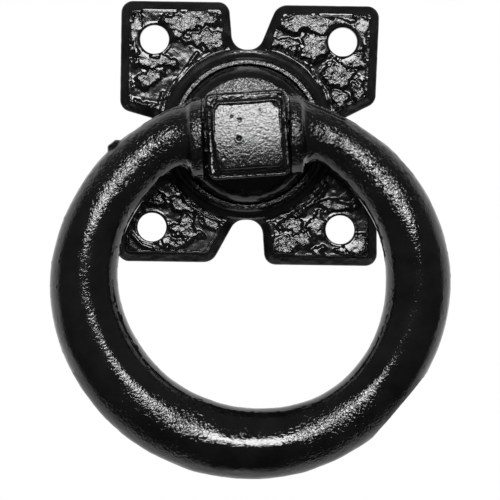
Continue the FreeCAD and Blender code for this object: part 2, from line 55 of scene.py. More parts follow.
ACROSS_FRONT = np.array([1.0, 0.0, 1.0])
Span = tuple[float, float]
Place = tuple[float, float, float]


def to_linear(hex_code: str) -> tuple[float, float, float, float]:
    """Turns an sRGB hex colour into linear red, green, blue and full alpha.

    Args:
        hex_code: Six hex digits with a leading hash.

    Returns:
        The linear colour.
    """
    parts = [int(hex_code[i : i + 2], 16) / 255 for i in (1, 3, 5)]
    linear = [c / 12.92 if c <= 0.04045 else ((c + 0.055) / 1.055) ** 2.4 for c in parts]
    return (*linear, 1.0)


def smooth_step(low: float, high: float, values: np.ndarray) -> np.ndarray:
    """Rises smoothly from 0 at low to 1 at high; falls instead where low is above high."""
    share = np.clip((values - low) / (high - low), 0.0, 1.0)
    return share * share * (3.0 - 2.0 * share)


def bell(distance: np.ndarray, width: float) -> np.ndarray:
    """1 at no distance, falling away smoothly over about the width."""
    return np.exp(-((distance / width) ** 2))


@dataclass(frozen=True)
class Swell:
    """One layer of noise: its height, its length, and how far along the noise it starts."""

    height: float
    length: float
    start: float = 0.0


class Grain:
    """Repeatable smooth noise in space, the raw stuff of every cast or hammered surface."""

    TABLE = 256
    FULL = 1.6

    def __init__(self, seed: int) -> None:
        """Draws the lattice once.

        Args:
            seed: Any whole number; the same one gives the same surface.
        """
        draw = np.random.default_rng(seed)
        self.order = draw.permutation(self.TABLE)
        slopes = draw.normal(size=(self.TABLE, 3))
        self.slopes = slopes / np.linalg.norm(slopes, axis=1, keepdims=True)
        self.spots = draw.random((self.TABLE, 3))

    def _corner(self, cell: np.ndarray) -> np.ndarray:
        """Numbers the lattice corners, the same way wherever they lie."""
        x, y, z = (cell[:, axis] % self.TABLE for axis in range(3))
        return self.order[(self.order[(self.order[x] + y) % self.TABLE] + z) % self.TABLE]

    def wave(self, points: np.ndarray, length: float) -> np.ndarray:
        """Rolling noise.

        Args:
            points: Places in millimetres, one a row.
            length: Distance from one swell to the next, in millimetres.

        Returns:
            Heights from about -1 to 1.
        """
        scaled = points / length
        cell = np.floor(scaled).astype(int)
        part = scaled - cell
        ease = part * part * part * (part * (part * 6 - 15) + 10)
        total = np.zeros(len(points))
        for corner in np.ndindex(2, 2, 2):
            step = np.array(corner)
            weight = np.prod(np.where(step, ease, 1 - ease), axis=1)
            total += weight * np.einsum("ij,ij->i", self.slopes[self._corner(cell + step)], part - step)
        return total * self.FULL

    def swells(self, points: np.ndarray, layers: Iterable[Swell]) -> np.ndarray:
        """Rolling noise of several sizes, added up in millimetres."""
        return sum(layer.height * self.wave(points + layer.start, layer.length) for layer in layers)

    def ridge(self, points: np.ndarray, length: float) -> np.ndarray:
        """Sharp crests with round hollows between them, 1 on the crest."""
        return 1.0 - 2.0 * np.abs(self.wave(points, length))

    def dents(self, points: np.ndarray, length: float) -> np.ndarray:
        """Hammer marks: 0 in the middle of each dent, rising to about 1 on the crests between them."""
        scaled = points / length
        cell = np.floor(scaled).astype(int)
        part = scaled - cell
        nearest = np.full(len(points), FAR)
        for corner in np.ndindex(3, 3, 3):
            step = np.array(corner) - 1
            spot = self.spots[self._corner(cell + step)] + step
            nearest = np.minimum(nearest, np.linalg.norm(spot - part, axis=1))
        return np.clip(nearest, 0.0, 1.0)


@dataclass
class Skin:
    """The points of one casting's mesh in millimetres, with their normals, while its surface is worked."""

    RELAX_STEP = 0.6

    mesh: bpy.types.Mesh
    points: np.ndarray = field(init=False)
    normals: np.ndarray = field(init=False)

    def __post_init__(self) -> None:
        """Reads the mesh."""
        self.read()

    def read(self) -> None:
        """Reads points and normals afresh, after the surface has moved."""
        count = len(self.mesh.vertices)
        places = np.empty(count * 3, np.float32)
        self.mesh.vertices.foreach_get("co", places)
        self.points = places.reshape(-1, 3).astype(float) / MM
        ways = np.empty(count * 3, np.float32)
        self.mesh.vertex_normals.foreach_get("vector", ways)
        self.normals = ways.reshape(-1, 3).astype(float)

    @property
    def depth(self) -> np.ndarray:
        """How far each point stands in front of the mounting face."""
        return -self.points[:, 1]

    @property
    def facing(self) -> np.ndarray:
        """How squarely each point faces the front, 1 at most."""
        return -self.normals[:, 1]

    @property
    def flat(self) -> np.ndarray:
        """The points, all brought to one depth."""
        return self.points * ACROSS_FRONT

    @property
    def radius(self) -> np.ndarray:
        """Distance from the boss axis."""
        return np.hypot(self.points[:, 0], self.points[:, 2])

    def move(self, height: np.ndarray) -> None:
        """Moves every point along its normal and writes the mesh.

        Args:
            height: Millimetres outward, one a point.
        """
        self.place(self.points + self.normals * height[:, None])

    def place(self, points: np.ndarray) -> None:
        """Puts every point at a new place in millimetres and writes the mesh."""
        self.mesh.vertices.foreach_set("co", (points * MM).astype(np.float32).ravel())
        self.mesh.update()
        self.read()

    def keep(self, name: str, values: np.ndarray) -> None:
        """Keeps one number a point on the mesh, for the material to read."""
        layer = self.mesh.attributes.new(name, "FLOAT", "POINT")
        layer.data.foreach_set("value", values.astype(np.float32))

    def relax(self, share: np.ndarray, rounds: int) -> None:
        """Melts the surface where share is above 0, by drawing each point towards its neighbours.

        Args:
            share: How much of each round a point takes, from 0 to 1.
            rounds: How often it is done.
        """
        ends = np.empty(len(self.mesh.edges) * 2, np.int32)
        self.mesh.edges.foreach_get("vertices", ends)
        here = np.concatenate((ends[::2], ends[1::2]))
        there = np.concatenate((ends[1::2], ends[::2]))
        near = (share[here] > 0.0) | (share[there] > 0.0)
        here, there = here[near], there[near]
        count = len(self.points)
        links = np.maximum(np.bincount(here, minlength=count), 1)
        for _ in range(rounds):
            for axis in range(3):
                pull = np.bincount(here, self.points[there, axis] - self.points[here, axis], count) / links
                self.points[:, axis] += self.RELAX_STEP * share * pull
        self.place(self.points)


@dataclass(frozen=True)
class Patch:
    """A plateau in the hammered face: nearly flat on top, with the metal falling away all round it."""

    x: float
    z: float
    half_long: float
    half_short: float
    turn: float
    calm: float

    def outside(self, points: np.ndarray) -> np.ndarray:
        """About how many millimetres each point lies outside the plateau; below 0 on it."""
        angle = math.radians(self.turn)
        along = (points[:, 0] - self.x) * math.cos(angle) + (points[:, 2] - self.z) * math.sin(angle)
        across = (points[:, 2] - self.z) * math.cos(angle) - (points[:, 0] - self.x) * math.sin(angle)
        away = np.hypot(along / self.half_long, across / self.half_short)
        return (away - 1.0) * math.sqrt(self.half_long * self.half_short)


def near_line(points: np.ndarray, line: Sequence[Sequence[float]], flat: bool = False) -> np.ndarray:
    """Distance of each point from a bent line.

    Args:
        points: Places in millimetres.
        line: The line's corners as (x, y, z) in millimetres.
        flat: Measures across the front only, as if the line ran through the whole depth.

    Returns:
        The distances in millimetres.
    """
    keep = ACROSS_FRONT if flat else np.ones(3)
    spots = points * keep
    nearest = np.full(len(points), FAR)
    for start, end in zip(line, line[1:]):
        first = np.array(start) * keep
        run = np.array(end) * keep - first
        share = np.clip((spots - first) @ run / (run @ run), 0.0, 1.0)
        nearest = np.minimum(nearest, np.linalg.norm(spots - first - share[:, None] * run, axis=1))
    return nearest


class Body(Enum):
    """The moving bodies that a piece can ride on."""

    PLATE = "plate"
    BOSS = "turning_boss"
    RING = "swinging_ring"


def add_node(
    tree: bpy.types.NodeTree,
    kind: str,
    links: dict | None = None,
    values: dict | None = None,
    **settings: str,
) -> bpy.types.Node:
    """Adds one node to a tree.

    Args:
        tree: The material's or the world's nodes.
        kind: Blender's name for the node.
        links: Input name or number to the output socket that feeds it.
        values: Input name or number to a plain value.
        settings: Properties of the node itself.

    Returns:
        The node.
    """
    node = tree.nodes.new(kind)
    for name, value in settings.items():
        setattr(node, name, value)
    for socket, value in (values or {}).items():
        node.inputs[socket].default_value = value
    for socket, source in (links or {}).items():
        tree.links.new(source, node.inputs[socket])
    return node


class Shader:
    """A material's node tree round one glossy shader."""

    def __init__(self, name: str) -> None:
        """Makes an empty material that ends in a glossy shader."""
        self.material = bpy.data.materials.new(name)
        self.material.use_nodes = True
        self.tree = self.material.node_tree
        self.tree.nodes.clear()
        self.surface = add_node(self.tree, "ShaderNodeBsdfPrincipled")
        add_node(self.tree, "ShaderNodeOutputMaterial", {"Surface": self.surface.outputs["BSDF"]})

    def add(self, kind: str, links: dict | None = None, values: dict | None = None, **settings: str):
        """Adds one node to the material, as add_node does."""
        return add_node(self.tree, kind, links, values, **settings)

    def socket(self, name: str) -> bpy.types.NodeSocket:
        """The glossy shader's input of a name that is written with _ for a blank."""
        return self.surface.inputs[name.replace("_", " ").title()]

    def set(self, **values: float | tuple) -> None:
        """Sets plain numbers and colours on the glossy shader."""
        for name, value in values.items():
            self.socket(name).default_value = value

    def feed(self, **sources: bpy.types.NodeSocket) -> None:
        """Links what other nodes put out to the glossy shader."""
        for name, source in sources.items():
            self.tree.links.new(source, self.socket(name))

    def tint(self, share: bpy.types.NodeSocket, dark: str, light: str, span: Span) -> bpy.types.NodeSocket:
        """Blends two sRGB hex colours.

        Args:
            share: What the blend follows, from 0 to 1.
            dark: The colour up to the span's low end.
            light: The colour from its high end on.
            span: Where the blend starts and ends.

        Returns:
            The blended colour.
        """
        ramp = self.add("ShaderNodeValToRGB", {"Fac": share})
        for element, place, colour in zip(ramp.color_ramp.elements, span, (dark, light)):
            element.position = place
            element.color = to_linear(colour)
        return ramp.outputs["Color"]


@dataclass(frozen=True)
class PaintedIron:
    """Black semi-gloss enamel over sand-cast malleable iron.

    Where the enamel is thin every grain of the sand shows and breaks each highlight into worm-like specks;
    where it has run and filled the skin it is black and wet. Each casting says where which of them is so.
    Sizes are in millimetres. The finest grit is about 0.1 mm on the real casting and is drawn at 0.24 mm,
    because finer would not show from a step away.
    """

    name: str
    dark: str = "#070708"
    light: str = "#111112"
    cloud: float = 6.0
    cloud_span: Span = (0.35, 0.7)
    gloss: Span = (0.12, 0.22)
    gloss_span: Span = (0.3, 0.7)
    grain: float = 0.55
    grain_height: float = 0.20
    grit: float = 0.24
    grit_height: float = 0.03

    def make(self) -> bpy.types.Material:
        """Builds the material: mottled black, uneven gloss, sand grain with finer grit on it."""
        shader = Shader(self.name)
        place = shader.add("ShaderNodeTexCoord").outputs["Object"]
        cloud = shader.add(
            "ShaderNodeTexNoise",
            {"Vector": place},
            {"Scale": 1 / (self.cloud * MM), "Detail": 4.0, "Roughness": 0.6},
        ).outputs["Fac"]
        gloss = shader.add(
            "ShaderNodeMapRange",
            {"Value": cloud},
            {
                "From Min": self.gloss_span[0],
                "From Max": self.gloss_span[1],
                "To Min": self.gloss[0],
                "To Max": self.gloss[1],
            },
        )
        strength = shader.add("ShaderNodeAttribute", attribute_name=GRAIN_LAYER).outputs["Fac"]
        grain = shader.add(
            "ShaderNodeTexNoise",
            {"Vector": place},
            {"Scale": 1 / (self.grain * MM), "Detail": 2.0, "Roughness": 0.5, "Distortion": 0.8},
        )
        grit = shader.add(
            "ShaderNodeTexNoise", {"Vector": place}, {"Scale": 1 / (self.grit * MM), "Detail": 1.0}
        )
        fine = shader.add(
            "ShaderNodeBump",
            {"Height": grit.outputs["Fac"], "Strength": strength},
            {"Distance": self.grit_height * MM},
        )
        bump = shader.add(
            "ShaderNodeBump",
            {"Height": grain.outputs["Fac"], "Normal": fine.outputs["Normal"], "Strength": strength},
            {"Distance": self.grain_height * MM},
        )
        shader.feed(
            base_color=shader.tint(cloud, self.dark, self.light, self.cloud_span),
            roughness=gloss.outputs["Result"],
            normal=bump.outputs["Normal"],
        )
        return shader.material


@dataclass(frozen=True)
class OiledSteel:
    """Dark oiled steel, turned on a lathe: faint rings round the washer's bore."""

    name: str
    dark: str = "#2B2A29"
    light: str = "#4A4845"
    gloss: Span = (0.3, 0.45)
    lay: float = 0.3
    lay_height: float = 0.02
    rings_per_unit: float = 20.0

    def make(self) -> bpy.types.Material:
        """Builds the material: turned rings about the boss axis over a smoky brown-grey metal."""
        shader = Shader(self.name)
        shader.set(metallic=1.0)
        place = shader.add("ShaderNodeTexCoord").outputs["Object"]
        rings = shader.add(
            "ShaderNodeTexWave",
            {"Vector": place},
            {"Scale": 1 / (self.rings_per_unit * self.lay * MM), "Distortion": 1.5, "Detail": 2.0},
            wave_type="RINGS",
            rings_direction="Y",
        ).outputs["Fac"]
        gloss = shader.add(
            "ShaderNodeMapRange", {"Value": rings}, {"To Min": self.gloss[0], "To Max": self.gloss[1]}
        )
        bump = shader.add(
            "ShaderNodeBump", {"Height": rings}, {"Strength": 0.5, "Distance": self.lay_height * MM}
        )
        shader.feed(
            base_color=shader.tint(rings, self.dark, self.light, (0.0, 1.0)),
            roughness=gloss.outputs["Result"],
            normal=bump.outputs["Normal"],
        )
        return shader.material


@dataclass
class Casting:
    """A cast piece: the node's own shape in an even mesh, ready for its skin."""

    node: str
    body: Body
    slot: str
    pitch: float
    finish: PaintedIron
    seed: int
    soften: int = 2
    most_facets: int = 190000

    def even_mesh(self) -> bpy.types.Object:
        """Makes the piece from the node in small even facets, with its edges as soft as cast ones.

        Returns:
            The new object, with its modifiers applied.
        """
        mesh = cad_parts[self.node].data.copy()
        piece = bpy.data.objects.new(self.node + "_casting", mesh)
        bpy.context.scene.collection.objects.link(piece)
        remesh = piece.modifiers.new("even", "REMESH")
        remesh.mode = "VOXEL"
        remesh.voxel_size = self.pitch * MM
        soften = piece.modifiers.new("soft_edges", "SMOOTH")
        soften.factor = 0.5
        soften.iterations = self.soften
        self.apply_all(piece)
        return piece

    def apply_all(self, piece: bpy.types.Object) -> None:
        """Turns the piece's modifiers into its mesh."""
        graph = bpy.context.evaluated_depsgraph_get()
        mesh = bpy.data.meshes.new_from_object(piece.evaluated_get(graph))
        piece.modifiers.clear()
        piece.data = mesh
        mesh.shade_smooth()

    def thin_out(self, piece: bpy.types.Object) -> None:
        """Merges facets where the surface is flattest, until the piece has few enough."""
        triangles = sum(len(face.vertices) - 2 for face in piece.data.polygons)
        thin = piece.modifiers.new("fewer", "DECIMATE")
        thin.ratio = min(1.0, self.most_facets / triangles)
        thin.use_collapse_triangulate = True
        self.apply_all(piece)

    def work(self, skin: Skin, grain: Grain) -> None:
        """Gives the skin its relief; each casting has its own."""
        raise NotImplementedError

    def grain_share(self, skin: Skin, grain: Grain) -> np.ndarray:
        """How plainly the sand grain shows at each point, from 0 to 1; each casting has its own."""
        raise NotImplementedError

    def keep_in_box(self, skin: Skin) -> None:
        """Holds the worked surface inside the box of the node, as a maker's gauge would."""
        low, high = (np.array(corner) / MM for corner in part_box(self.node))
        skin.place(np.clip(skin.points, low, high))

    def build(self) -> bpy.types.Object:
        """Builds, works and dresses the casting.

        Returns:
            The finished object.
        """
        piece = self.even_mesh()
        skin = Skin(piece.data)
        grain = Grain(self.seed)
        self.work(skin, grain)
        self.keep_in_box(skin)
        skin.keep(GRAIN_LAYER, self.grain_share(skin, grain))
        self.thin_out(piece)
        piece.data.materials.clear()
        piece.data.materials.append(self.finish.make())
        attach(piece, self.body.value)
        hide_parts(self.node)
        LOG.info("%s: %d facets", piece.name, len(piece.data.polygons))
        return piece


@dataclass
class Backplate(Casting):
    """The four-lobed plate: hammered lobes in a smooth bevel, and a cove up to the collar."""

    node: str = "backplate"
    body: Body = Body.PLATE
    slot: str = "plate_casting"
    pitch: float = 0.20
    finish: PaintedIron = PaintedIron("enamelled_hammered_cast_iron", grain=0.45, grain_height=0.15)
    seed: int = 11
    face: float = 4.0
    rim_depth: float = 5.9
    rim_span: Span = (14.2, 15.2)
    rim_lean: float = 0.085
    border_start: float = 16.3
    border_depth: float = 4.18
    border_slope: float = 0.33
    border_end: float = 18.5
    cove_fall: Span = (0.8, 0.65)
    saddle_slope: float = 0.29
    hole_spots: Span = (19.15, 19.1)
    hole_mouth: float = 3.65
    rough: float = 0.40
    still: float = 0.08
    slope: float = 0.5
    valley: float = 0.5
    lean: float = 0.070
    patches: tuple[Patch, ...] = (
        Patch(-22.9, 19.8, 1.1, 5.1, 0, 0.95),
        Patch(-21.6, 15.3, 1.8, 1.1, -20, 0.9),
        Patch(-12.0, 23.1, 5.1, 1.8, 5, 0.5),
        Patch(-15.2, 20.8, 1.9, 1.5, 0, 0.65),
        Patch(-7.9, 18.9, 4.3, 1.7, -8, 0.5),
        Patch(-18.0, 14.5, 2.8, 0.9, 0, 0.5),
        Patch(-20.2, 11.2, 2.6, 1.2, 30, 0.5),
        Patch(-21.3, 5.5, 2.2, 0.8, -15, 0.5),
        Patch(9.6, 22.8, 3.1, 1.6, 0, 0.5),
        Patch(16.5, 22.3, 4.3, 1.6, 0, 0.6),
        Patch(22.8, 21.2, 1.3, 3.5, 0, 0.9),
        Patch(6.6, 18.1, 3.1, 1.2, 0, 0.4),
        Patch(13.7, 18.0, 2.6, 2.4, 0, 0.5),
        Patch(18.3, 12.2, 2.6, 2.2, 0, 0.4),
        Patch(18.1, 7.3, 1.7, 1.4, 0, 0.4),
        Patch(22.8, 9.0, 1.0, 1.8, 0, 0.4),
        Patch(21.3, 15.3, 2.6, 0.9, 0, 0.6),
        Patch(-12.7, -14.5, 2.4, 1.2, -20, 0.6),
        Patch(-18.6, -13.6, 1.6, 1.0, 0, 0.4),
        Patch(-12.0, -19.2, 1.4, 2.4, 0, 0.5),
        Patch(-12.4, -20.0, 2.8, 0.9, -15, 0.5),
        Patch(-7.1, -17.9, 2.2, 0.8, -38, 0.6),
        Patch(-15.0, -22.3, 1.8, 0.6, 0, 0.7),
        Patch(12.3, -13.4, 3.8, 1.0, 40, 0.45),
        Patch(18.4, -14.1, 2.8, 0.8, 0, 0.6),
        Patch(14.4, -18.4, 1.2, 1.8, 0, 0.7),
        Patch(8.0, -22.2, 2.5, 1.8, 0, 0.4),
        Patch(9.4, -18.5, 2.0, 1.2, 0, 0.5),
        Patch(11.4, -21.3, 1.6, 1.6, 0, 0.5),
        Patch(22.6, -22.4, 1.8, 1.6, 0, 0.9),
        Patch(14.3, -23.3, 0.8, 0.4, 0, 0.7),
        Patch(19.8, -23.4, 0.8, 0.4, 0, 0.7),
    )
    fray: tuple[Swell, ...] = (Swell(0.9, 2.2), Swell(0.7, 0.9))
    ripple: tuple[Swell, ...] = (Swell(0.6, 1.3), Swell(0.45, 0.75, 23.0))
    ragged_end: tuple[Swell, ...] = (Swell(0.9, 2.6, 60.0), Swell(0.4, 1.0, 60.0))
    creases: tuple[tuple[Place, ...], ...] = (
        ((-10.5, 0, 16.4), (-12.9, 0, 12.9), (-15.0, 0, 9.5)),
        ((-17.3, 0, 8.2), (-18.0, 0, 5.3), (-18.4, 0, 3.9)),
        ((-23.1, 0, -20.6), (-21.3, 0, -22.6), (-19.1, 0, -23.4)),
    )

    def work(self, skin: Skin, grain: Grain) -> None:
        """Hammers the lobes, wears the collar's rim and gives the rest a light sand skin."""
        lobes = self.hammered(skin, grain)
        skin.move(lobes + self.edges(skin, grain) + self.cove_border(skin, grain, lobes))
        front = smooth_step(0.2, 0.8, skin.depth) * smooth_step(14.0, 20.0, skin.radius)
        skin.move(front * 0.02 * grain.wave(skin.points, 1.3))

    def lobe_share(self, skin: Skin) -> np.ndarray:
        """How much each point belongs to the flat face of a lobe, away from bevel, cove and holes."""
        flat = smooth_step(0.80, 0.97, skin.facing)
        flat *= smooth_step(self.face - 0.5, self.face - 0.1, skin.depth)
        outside = smooth_step(self.border_end - 1.4, self.border_end - 0.6, skin.radius)
        hole = smooth_step(self.hole_mouth - 0.1, self.hole_mouth + 0.7, self.hole_distance(skin))
        return flat * outside * hole

    def hole_distance(self, skin: Skin) -> np.ndarray:
        """Distance of each point from the axis of its nearest screw hole."""
        across = np.abs(skin.points[:, 0]) - self.hole_spots[0]
        up = np.abs(skin.points[:, 2]) - self.hole_spots[1]
        return np.hypot(across, up)

    def plateaus(self, flat: np.ndarray, grain: Grain) -> tuple[np.ndarray, np.ndarray, np.ndarray]:
        """Finds where each point lies on the plateaus, whose outlines are frayed.

        Args:
            flat: Places in millimetres, all brought to one depth.
            grain: The plate's noise.

        Returns:
            Millimetres beyond the nearest plateau, how calm the face is, and the height of its lean.
        """
        frayed = flat.copy()
        for axis, start in ((0, 0.0), (2, 50.0)):
            frayed[:, axis] += grain.swells(flat + start, self.fray)
        beyond = np.full(len(flat), 9.0)
        calm = np.zeros(len(flat))
        lean = np.zeros(len(flat))
        for patch in self.patches:
            outside = patch.outside(frayed)
            share = smooth_step(0.3, -0.3, outside)
            beyond = np.minimum(beyond, outside)
            calm = np.maximum(calm, patch.calm * share)
            lean += share * self.lean * np.clip(patch.z - flat[:, 2], -3.0, 3.0)
        return beyond, calm, lean

    def grain_share(self, skin: Skin, grain: Grain) -> np.ndarray:
        """Grain on the plateaus and on the collar's rim; the enamel has run together elsewhere."""
        beyond, calm, _ = self.plateaus(skin.flat, grain)
        on_plateau = smooth_step(0.3, -0.3, beyond) * (0.9 - 0.65 * calm)
        rim = smooth_step(self.rim_depth - 0.9, self.rim_depth - 0.4, skin.depth)
        back = smooth_step(-0.5, -0.9, skin.facing)
        share = 0.1 + self.lobe_share(skin) * (0.12 + 0.8 * on_plateau) + 0.8 * rim + 0.4 * back
        return share * smooth_step(0.2, 0.8, np.abs(skin.facing))

    def hammered(self, skin: Skin, grain: Grain) -> np.ndarray:
        """Relief of the lobes: plateaus that lean up a little, crumpled valleys, a few long creases."""
        flat = skin.flat
        beyond, calm, lean = self.plateaus(flat, grain)
        crumple = (
            0.55 * (grain.dents(flat, 3.0) - 0.6)
            + 0.45 * grain.wave(flat, 2.2)
            + 0.30 * grain.ridge(flat + 11.0, 1.4)
            + 0.22 * grain.wave(flat, 0.8)
        )
        ripple = grain.swells(flat, self.ripple)
        fall = np.minimum(self.slope * np.clip(beyond, 0.0, None), self.valley)
        lively = 0.12 + 0.88 * smooth_step(1.3, 0.1, beyond)
        height = (1 - calm) * lively * self.rough * crumple + self.still * (0.3 + calm) * ripple
        lost, end_fall = self.face_end(skin, grain)
        height = (1 - lost) * (height + lean - fall + 0.05) - end_fall
        for line in self.creases:
            height += 0.3 * bell(near_line(flat, line, flat=True), 0.4)
        open_face = smooth_step(0.3, 0.5, skin.facing) * smooth_step(2.0, 2.5, skin.depth)
        open_face *= smooth_step(self.border_end - 1.4, self.border_end - 0.6, skin.radius)
        ceiling = np.minimum(self.face + height - skin.depth, 0.0) / np.clip(skin.facing, 0.5, 1.0)
        return np.where(height > 0.0, self.lobe_share(skin) * height, open_face * ceiling)

    def face_end(self, skin: Skin, grain: Grain) -> tuple[np.ndarray, np.ndarray]:
        """Lets the hammered face fall away to the cove, past an uneven line.

        Args:
            skin: The plate's surface.
            grain: The plate's noise.

        Returns:
            How much of the hammering is lost at each point, and how far the face falls in millimetres.
        """
        ends = grain.swells(skin.flat, self.ragged_end)
        past = np.clip(0.3 + self.border_end - skin.radius + ends, 0.0, None)
        return smooth_step(0.0, 0.5, past), np.minimum(self.cove_fall[0] * past, self.cove_fall[1])

    def cove_border(self, skin: Skin, grain: Grain, lobes: np.ndarray) -> np.ndarray:
        """The cove runs on below the hammered face, which ends above it in an uneven edge.

        Args:
            skin: The plate's surface.
            grain: The plate's noise.
            lobes: The relief that the hammered face gets, in millimetres.

        Returns:
            Millimetres to go down, one a point.
        """
        reach = skin.radius + 0.35 * grain.wave(skin.points, 2.5)
        saddle = smooth_step(6.0, 3.0, np.abs(skin.points[:, 0]))
        saddle *= smooth_step(14.0, 15.5, skin.points[:, 2])
        slope = self.border_slope + (self.saddle_slope - self.border_slope) * saddle
        target = self.border_depth - slope * (skin.radius - self.border_start)
        inside = smooth_step(self.border_end + 0.2, self.border_end - 0.2, reach)
        open_cove = smooth_step(0.75, 0.9, skin.facing)
        inside *= open_cove * smooth_step(self.face - 0.6, self.face - 0.2, skin.depth)
        below = np.minimum(target - skin.depth - lobes, 0.0)
        return inside * np.where(reach > self.border_start, below, 0.0)

    def edges(self, skin: Skin, grain: Grain) -> np.ndarray:
        """The collar's worn rim, which leans outward, the paint in the screw holes and the uneven bevel."""
        on_rim = smooth_step(self.rim_depth - 0.7, self.rim_depth - 0.4, skin.depth)
        out = np.clip(skin.radius, *self.rim_span) - self.rim_span[0]
        worn = self.rim_depth - 0.02 - self.rim_lean * out
        worn = worn + 0.06 * grain.wave(skin.points, 0.7) - skin.depth
        rim = on_rim * np.clip(worn, -0.3, 0.25) * smooth_step(0.3, 0.8, skin.facing)
        in_hole = 0.08 * smooth_step(self.hole_mouth, self.hole_mouth - 0.5, self.hole_distance(skin))
        front = smooth_step(0.3, 0.6, skin.facing) * smooth_step(0.5, 2.0, skin.depth)
        outer = 0.2 + 0.8 * smooth_step(self.border_end - 0.5, self.border_end + 0.5, skin.radius)
        return rim + in_hole + front * outer * 0.05 * grain.wave(skin.points, 3.5)


@dataclass
class Boss(Casting):
    """The turning boss: speckled dome, steep flank, and the square block with its stepped front."""

    node: str = "boss"
    body: Body = Body.BOSS
    slot: str = "boss_casting"
    pitch: float = 0.15
    finish: PaintedIron = PaintedIron("enamelled_sand_cast_iron", grain=0.5, grain_height=0.17)
    seed: int = 23
    turn: float = 4.6
    middle: tuple[float, float] = (0.03, -0.55)
    block_half: float = 8.1
    panel_half: float = 7.0
    step_depth: float = 27.9
    dome: Span = (9.6, 12.0)
    block_foot: float = 11.4
    top_growth: float = 0.75
    foot_growth: float = 0.3
    panel_lean: float = 0.07
    panel_fold: float = -2.4
    panel_wear: Span = (0.05, 0.4)
    panel_bend: float = 2.6
    panel_share: float = 0.35
    ledge_lean: float = 0.09
    ledge_step: float = 4.6
    ledge_start: float = 7.6
    ledge_profile: tuple[Span, ...] = ((6.2, -0.05), (6.7, 0.0), (7.2, -0.11), (7.7, -0.06), (8.4, 0.0))
    peel: tuple[Swell, ...] = (Swell(0.035, 0.9), Swell(0.03, 2.2))
    ragged: tuple[Swell, ...] = (Swell(0.13, 1.1), Swell(0.10, 2.4))
    worn_corners: tuple[tuple[float, float, float, float], ...] = (
        (-6.9, 6.7, 1.6, 0.5),
        (-6.9, -6.7, 2.4, 0.5),
        (6.9, 6.7, 2.0, 0.5),
        (6.9, -6.7, 1.4, 0.4),
    )
    pits: tuple[tuple[float, float, float, float], ...] = (
        (-3.23, 3.16, 0.22, 0.16),
        (-1.56, 2.42, 0.36, 0.12),
        (-1.61, -1.20, 0.34, 0.22),
        (2.47, 4.54, 0.16, 0.10),
        (-4.6, -5.2, 0.25, 0.10),
    )
    pit_ring: tuple[float, float, float] = (-1.61, -1.20, 0.75)

    def work(self, skin: Skin, grain: Grain) -> None:
        """Works the block's ledge, the pits of its face and the grain of the dome."""
        self.wear_outline(skin)
        skin.move(self.ledge(skin, grain) + self.face_marks(skin))
        body = smooth_step(4.7, 5.2, skin.depth)
        calm = 1.0 - 0.7 * smooth_step(self.step_depth, self.step_depth + 0.5, skin.depth)
        peel = calm * grain.swells(skin.points, self.peel)
        on_dome = smooth_step(self.dome[0], self.dome[0] + 0.4, skin.depth)
        on_dome *= smooth_step(self.dome[1] + 1.0, self.dome[1], skin.depth)
        grit = 0.05 * on_dome * grain.wave(skin.points, 0.6)
        skin.move(body * peel + grit)

    def block_places(self, skin: Skin) -> tuple[np.ndarray, np.ndarray]:
        """Each point's place across and up the block's own square."""
        angle = math.radians(self.turn)
        x = skin.points[:, 0] - self.middle[0]
        z = skin.points[:, 2] - self.middle[1]
        across = x * math.cos(angle) + z * math.sin(angle)
        up = z * math.cos(angle) - x * math.sin(angle)
        return across, up

    def wear_outline(self, skin: Skin) -> None:
        """Draws the panel's edges in where they are worn, and the block's upper side out a little."""
        across, up = self.block_places(skin)
        on_block = smooth_step(self.block_foot - 0.3, self.block_foot + 0.5, skin.depth)
        on_panel = smooth_step(self.step_depth + 0.1, self.step_depth + 0.45, skin.depth)
        up_by = on_block * self.top_growth * smooth_step(5.0, 7.5, up)
        up_by -= on_block * self.foot_growth * smooth_step(-5.0, -7.5, up)
        up_by -= on_panel * (self.panel_wear[0] + self.top_growth) * smooth_step(4.0, 7.0, up)
        up_by += on_panel * (self.panel_wear[1] + self.foot_growth) * smooth_step(-4.0, -7.0, up)
        left = smooth_step(-4.0, -7.0, across) * (0.15 + 0.6 * np.clip(np.abs(up - 0.6) / 6.5, 0, 1) ** 2)
        across_by = on_panel * left
        angle = math.radians(self.turn)
        shift = np.zeros_like(skin.points)
        shift[:, 0] = across_by * math.cos(angle) - up_by * math.sin(angle)
        shift[:, 2] = across_by * math.sin(angle) + up_by * math.cos(angle)
        skin.place(skin.points + shift)

    def ledge(self, skin: Skin, grain: Grain) -> np.ndarray:
        """Wear of the outer step: ragged all round, and fallen away on the right and below."""
        across, up = self.block_places(skin)
        out = np.maximum(np.abs(across), np.abs(up))
        on_step = smooth_step(self.panel_half - 0.9, self.panel_half - 0.5, out)
        on_step *= smooth_step(self.step_depth - 0.9, self.step_depth - 0.3, skin.depth)
        on_step *= smooth_step(self.step_depth + 0.35, self.step_depth + 0.15, skin.depth)
        right = across >= np.abs(up)
        below = -up > np.abs(across)
        fallen = np.where(right | below, (out - self.panel_half) / (self.block_half - self.panel_half), 0.0)
        ragged = grain.swells(skin.points, self.ragged)
        steps = (self.ledge_step - (up + self.ledge_start) % self.ledge_step) * self.ledge_lean - 0.3
        crossed = np.interp(out, *np.array(self.ledge_profile).T)
        lean = np.where(np.abs(across) > np.abs(up), steps, crossed)
        return on_step * (-0.45 * np.clip(fallen, 0, 1) + ragged + lean)

